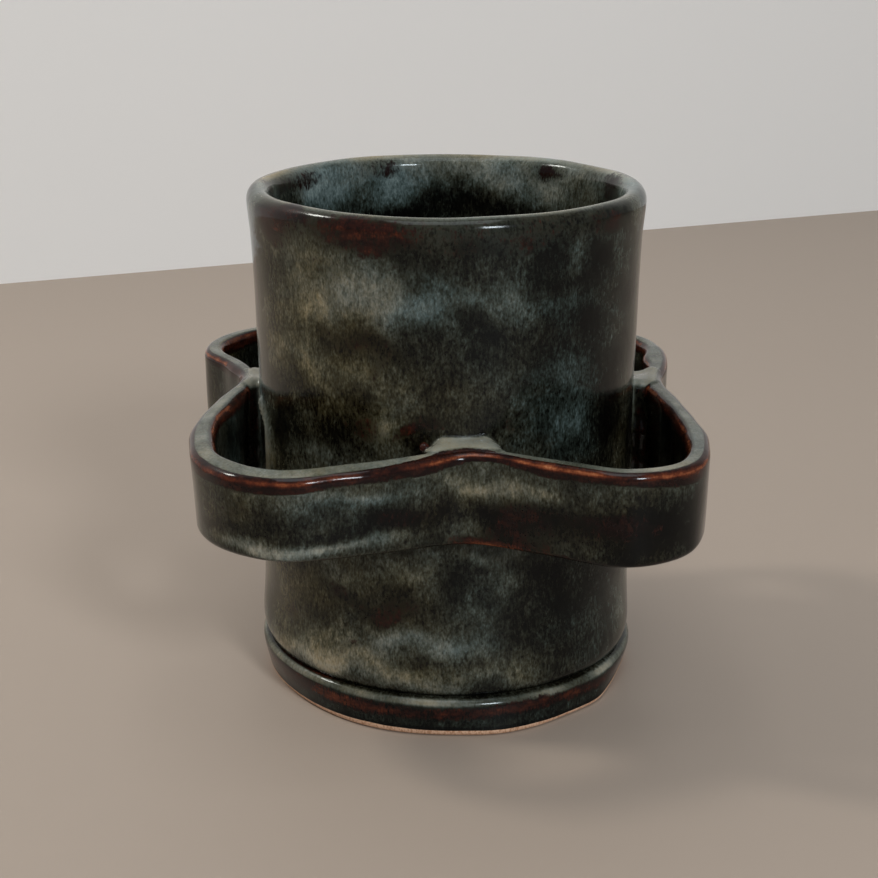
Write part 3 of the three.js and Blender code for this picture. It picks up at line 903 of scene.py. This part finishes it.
def join_masks(points):
    """The glaze on a join: the wall's on one side, the strap's on the other, gathered thick in the
    hollows with a painted highlight.
    """
    height = points[:, 2]
    bearing = bearing_of(points)
    to_wall = np.abs(wall_distance(points))
    to_strap, strap_x, station = strap_distance(points)
    to_strap = np.abs(to_strap)
    half = HALF[station]
    strap = strap_masks(points, np.clip(strap_x, -half, half), np.minimum(height, TOP[station]), station)
    share = to_wall / (to_wall + to_strap + 0.01)
    filled = ease(np.minimum(to_wall, to_strap), 0.05, 0.5)
    # Painted reflection: the join's top is made paler, partly as pooled glaze, partly for the bright
    # light reflected on it
    on_top = filled * ease(height, STRAP_TOP - 1.2, STRAP_TOP)
    depth = (STRAP_TOP - height) / (STRAP_TOP - STRAP_BOTTOM)
    # Painted highlight: a pale line along the hollow at the wall, partly glaze gathered there, partly
    # the glint of the fillet
    crease_pool_and_highlight = bell(to_wall - 0.4, 0.35) * fade(share, 0.3, 0.6)
    crease_pool_and_highlight = crease_pool_and_highlight * ease(depth, 0.0, 0.08) * (1 - 0.6 * ease(depth, 0.1, 0.8))
    pellet = fade(lengths(points - PELLET), PELLET_RADIUS, PELLET_RADIUS + 0.5)
    thick = mix(wall_glaze_and_shade(bearing, height), strap["thick"], share)
    broken = strap["broken"] * ease(share, 0.5, 1) * (1 - filled)
    broken = broken + 0.45 * filled * (1 - on_top) * (1 - crease_pool_and_highlight)
    crest = strap["crest"] * ease(share, 0.7, 1) * (1 - filled)
    return {
        "thick": mix(thick, JOIN_GLAZE + 0.52 * on_top, filled) + 0.4 * crease_pool_and_highlight,
        "hue": mix(wall_hue(bearing, height), strap["hue"], share) * (1 - on_top),
        "broken": np.maximum(broken, pellet),
        "crest": np.maximum(crest, 0.3 * pellet),
        "calm": np.maximum.reduce([strap["calm"], on_top, crease_pool_and_highlight]),
    }


# Materials


def srgb(red, green, blue):
    """A linear colour from screen values of 0 to 255."""
    values = [channel / 255 for channel in (red, green, blue)]
    linear = [v / 12.92 if v <= 0.04045 else ((v + 0.055) / 1.055) ** 2.4 for v in values]
    return (*linear, 1.0)


# What the glaze looks like from thin to thick, and where it breaks over an edge
GLAZE_STEPS = [
    (0.00, srgb(7, 6, 5)),
    (0.20, srgb(16, 15, 11)),
    (0.36, srgb(32, 32, 25)),
    (0.50, srgb(50, 51, 43)),
    (0.62, srgb(68, 71, 63)),
    (0.76, srgb(96, 98, 90)),
    (0.90, srgb(130, 129, 118)),
    (1.00, srgb(156, 152, 138)),
]
BREAK_STEPS = [
    (0.00, srgb(26, 13, 11)),
    (0.25, srgb(50, 24, 17)),
    (0.50, srgb(84, 40, 24)),
    (0.75, srgb(132, 76, 48)),
    (1.00, srgb(172, 116, 82)),
]
HUE_STEPS = [
    (0.0, (1.15, 0.93, 0.58, 1.0)),
    (0.5, (0.98, 1.0, 0.98, 1.0)),
    (1.0, (0.7, 0.95, 1.15, 1.0)),
]
BARE_CLAY = srgb(214, 178, 150)
BARE_CLAY_DARK = srgb(176, 134, 106)


class Nodes:
    """A short way to add shader nodes and link them."""

    def __init__(self, name):
        self.material = bpy.data.materials.new(name)
        self.material.use_nodes = True
        self.tree = self.material.node_tree
        self.shader = self.tree.nodes["Principled BSDF"]
        self.place = self.add("TexCoord").outputs["Object"]

    def add(self, kind, inputs=(), **settings):
        node = self.tree.nodes.new("ShaderNode" + kind)
        for key, value in settings.items():
            setattr(node, key, value)
        self.feed(node, dict(inputs))
        return node

    def feed(self, node, inputs):
        """Gives a node's inputs their values, or links outputs to them."""
        for key, value in inputs.items():
            if isinstance(value, bpy.types.NodeSocket):
                self.tree.links.new(value, node.inputs[key])
            else:
                node.inputs[key].default_value = value

    def math(self, operation, a, b=0.0, c=0.0):
        return self.add("Math", {0: a, 1: b, 2: c}, operation=operation).outputs[0]

    def plus(self, value, pattern, amount):
        """A value with an amount of a pattern added."""
        return self.math("MULTIPLY_ADD", pattern, amount, value)

    def sway(self, value, pattern, amount, middle=0.5):
        """A value moved up and down by a pattern, from the pattern's middle."""
        return self.plus(value, self.math("SUBTRACT", pattern, middle), amount)

    def mask(self, name):
        return self.add("Attribute", attribute_name=name).outputs["Fac"]

    def noise(self, scale, detail=2.0, roughness=0.5, distortion=0.0, height_scale=1.0):
        """Noise of a scale per metre. A height scale below 1 draws it out upwards, as glaze runs."""
        drawn = self.add("VectorMath", {0: self.place, 1: (1, 1, height_scale)}, operation="MULTIPLY")
        inputs = {"Scale": scale, "Detail": detail, "Roughness": roughness, "Distortion": distortion}
        inputs["Vector"] = drawn.outputs[0]
        return self.add("TexNoise", inputs).outputs["Fac"]

    def ramp(self, value, steps):
        """Colours by value, from rows of place and colour."""
        node = self.add("ValToRGB", {0: value})
        elements = node.color_ramp.elements
        while len(elements) < len(steps):
            elements.new(0.5)
        for element, (place, colour) in zip(elements, steps):
            element.position = place
            element.color = colour
        return node.outputs[0]

    def mix(self, factor, a, b, blend="MIX"):
        """Two colours mixed. Sockets 6, 7 and 2 are the node's colour ones."""
        node = self.add("Mix", {0: factor, 6: a, 7: b}, data_type="RGBA", blend_type=blend)
        return node.outputs[2]

    def between(self, value, low, high):
        """0 below low, 1 above high, smooth between."""
        limits = {"Value": value, "From Min": low, "From Max": high}
        return self.add("MapRange", limits, interpolation_type="SMOOTHSTEP").outputs[0]


def glaze_material(name):
    """Glossy, streaked and clouded glaze whose colour follows its thickness."""
    nodes = Nodes(name)
    streaks = nodes.noise(2500, 1.0, 0.6, height_scale=0.5)
    threads = nodes.noise(1000, 3.0, 0.65, height_scale=0.42)
    specks = nodes.between(nodes.noise(1400, 1.0, height_scale=0.6), 0.52, 0.7)
    glints = nodes.noise(330, 3.0, 0.6, height_scale=2.2)
    mottle = nodes.noise(190, 5.0, 0.72, 0.5, height_scale=0.75)
    clouds = nodes.noise(110, 3.0, 0.5, 0.3, height_scale=1.2)
    patches = nodes.noise(70, 5.0, 0.65, 0.4, height_scale=1.3)

    texture = nodes.math("ADD", mottle, 0.06)
    for pattern, amount in ((threads, 0.9), (streaks, 0.75), (clouds, 0.7)):
        texture = nodes.sway(texture, pattern, amount)
    texture = nodes.plus(texture, specks, -0.22)
    liveliness = nodes.plus(nodes.plus(0.92, nodes.mask("thick"), -0.6), nodes.mask("calm"), -0.3)
    liveliness = nodes.math("MAXIMUM", liveliness, 0.08)
    thick = nodes.sway(nodes.mask("thick"), texture, liveliness)

    broken = nodes.mask("broken")
    torn = broken
    for pattern, amount in ((mottle, 1.3), (clouds, 1.0), (streaks, 0.8), (threads, 1.2)):
        torn = nodes.sway(torn, pattern, amount)
    torn = nodes.between(nodes.math("MULTIPLY", torn, nodes.between(broken, 0.02, 0.3)), 0.2, 0.75)
    thinned = nodes.plus(thick, torn, -0.3)

    hue = nodes.sway(nodes.sway(nodes.mask("hue"), patches, 2.2), streaks, 1.0)
    tint = nodes.ramp(nodes.plus(0.5, hue, 0.5), HUE_STEPS)
    colour = nodes.mix(1.0, nodes.ramp(thinned, GLAZE_STEPS), tint, "MULTIPLY")
    crest = nodes.sway(nodes.sway(nodes.mask("crest"), glints, 1.1, middle=0.45), streaks, 0.4)
    colour = nodes.mix(torn, colour, nodes.ramp(crest, BREAK_STEPS))

    bare = nodes.between(nodes.sway(nodes.mask("bare"), mottle, 0.8), 0.4, 0.6)
    clay = nodes.mix(nodes.between(streaks, 0.4, 0.7), BARE_CLAY, BARE_CLAY_DARK)
    relief = nodes.plus(nodes.noise(330), threads, 0.12)
    relief = nodes.plus(relief, nodes.math("MULTIPLY", bare, streaks), 1.5)
    bump = nodes.add("Bump", {"Height": relief, "Strength": 0.25, "Distance": 0.0002})
    look = {
        "Base Color": nodes.mix(bare, colour, clay),
        "Roughness": nodes.plus(nodes.plus(0.06, threads, 0.14), bare, 0.6),
        "Normal": bump.outputs[0],
        "IOR": 1.4,
        "Specular IOR Level": 0.3,
        "Specular Tint": (0.82, 0.93, 1.0, 1.0),
    }
    nodes.feed(nodes.shader, look)
    return nodes.material


def plain_material(name, colour, roughness):
    """Paint with faint clouds in it."""
    nodes = Nodes(name)
    paler = tuple(min(1.0, channel * 1.03) for channel in colour[:3]) + (1.0,)
    clouded = nodes.mix(nodes.noise(3.0, 3.0), colour, paler)
    nodes.feed(nodes.shader, {"Base Color": clouded, "Roughness": roughness})
    return nodes.material


# Stage, light and camera

FLOOR_COLOUR = srgb(157, 145, 134)
WALL_COLOUR = srgb(240, 241, 241)
WALL_AWAY = 0.42  # metres from the cup's axis to the wall
WALL_TURN = math.radians(22.6)
STAGE_REACH = 4.0
STAGE_HEIGHT = 3.0

# Soft lamps: name, bearing and elevation in degrees, distance and size in metres, power, colour
LAMPS = [
    ("window", -63, 30, 1.6, 0.26, 11, (1.0, 1.0, 1.0)),
    ("warm_lamp", 172, 46, 0.9, 0.13, 2.4, (1.0, 0.92, 0.82)),
    ("overhead", -90, 80, 1.8, 1.1, 10, (1.0, 0.99, 0.97)),
]
ROOM_COLOUR = (0.86, 0.87, 0.88, 1.0)
ROOM_STRENGTH = 0.26

# The camera, fitted to the photograph's ellipses: it looks along +Y and down
CAMERA_PLACE = (0.0, -359.0, 168.2)
CAMERA_PITCH = math.radians(18.08)
CAMERA_TURN = math.radians(0.247)
CAMERA_LENS = 70.3


def make_stage():
    """A pale table top and a pale wall, which stands askew as in the photograph."""
    along = Vector((math.cos(WALL_TURN), math.sin(WALL_TURN), 0))
    away = Vector((-math.sin(WALL_TURN), math.cos(WALL_TURN), 0))
    left = away * WALL_AWAY - along * STAGE_REACH
    right = away * WALL_AWAY + along * STAGE_REACH
    nearer = away * STAGE_REACH
    up = Vector((0, 0, STAGE_HEIGHT))
    sheets = [
        ("floor", [left - nearer, right - nearer, right, left], FLOOR_COLOUR, 0.6),
        ("backdrop", [left, right, right + up, left + up], WALL_COLOUR, 0.9),
    ]
    for name, corners, colour, roughness in sheets:
        mesh = bpy.data.meshes.new(name)
        mesh.from_pydata(corners, [], [(0, 1, 2, 3)])
        mesh.materials.append(plain_material(name + "_paint", colour, roughness))
        sheet = link_object(name, mesh)


def add_lamp(name, bearing, elevation, distance, size, power, colour):
    """A soft square lamp that points at the cup's middle."""
    turn, rise = np.radians((bearing, elevation))
    target = Vector((0, 0, CUP_HEIGHT / 2 * MM))
    towards = Vector((math.cos(turn) * math.cos(rise), math.sin(turn) * math.cos(rise), math.sin(rise)))
    data = bpy.data.lights.new(name, "AREA")
    data.size = size
    data.energy = power
    data.color = colour
    lamp = link_object(name, data)
    lamp.location = target + towards * distance
    lamp.rotation_mode = "QUATERNION"
    lamp.rotation_quaternion = towards.to_track_quat("Z", "Y")


def make_lights():
    """The lamps, and a faint even light from all round."""
    for lamp in LAMPS:
        add_lamp(*lamp)
    world = bpy.data.worlds.new("room")
    world.use_nodes = True
    background = world.node_tree.nodes["Background"]
    background.inputs["Color"].default_value = ROOM_COLOUR
    background.inputs["Strength"].default_value = ROOM_STRENGTH
    bpy.context.scene.world = world


def make_camera():
    data = bpy.data.cameras.new("camera")
    data.lens = CAMERA_LENS
    data.sensor_width = 36
    data.clip_start = 0.01
    camera = link_object("camera", data)
    camera.location = Vector(CAMERA_PLACE) * MM
    camera.rotation_euler = (math.pi / 2 - CAMERA_PITCH, 0, CAMERA_TURN)
    bpy.context.scene.camera = camera


make_camera()
glaze = glaze_material("floating_glaze")
make_wall(glaze)
make_base(glaze)
make_seam_coil(glaze)
make_strap(glaze)
for join in JOINS:
    make_join(*join, glaze)
make_stage()
make_lights()
bpy.context.scene.view_settings.view_transform = "Standard"
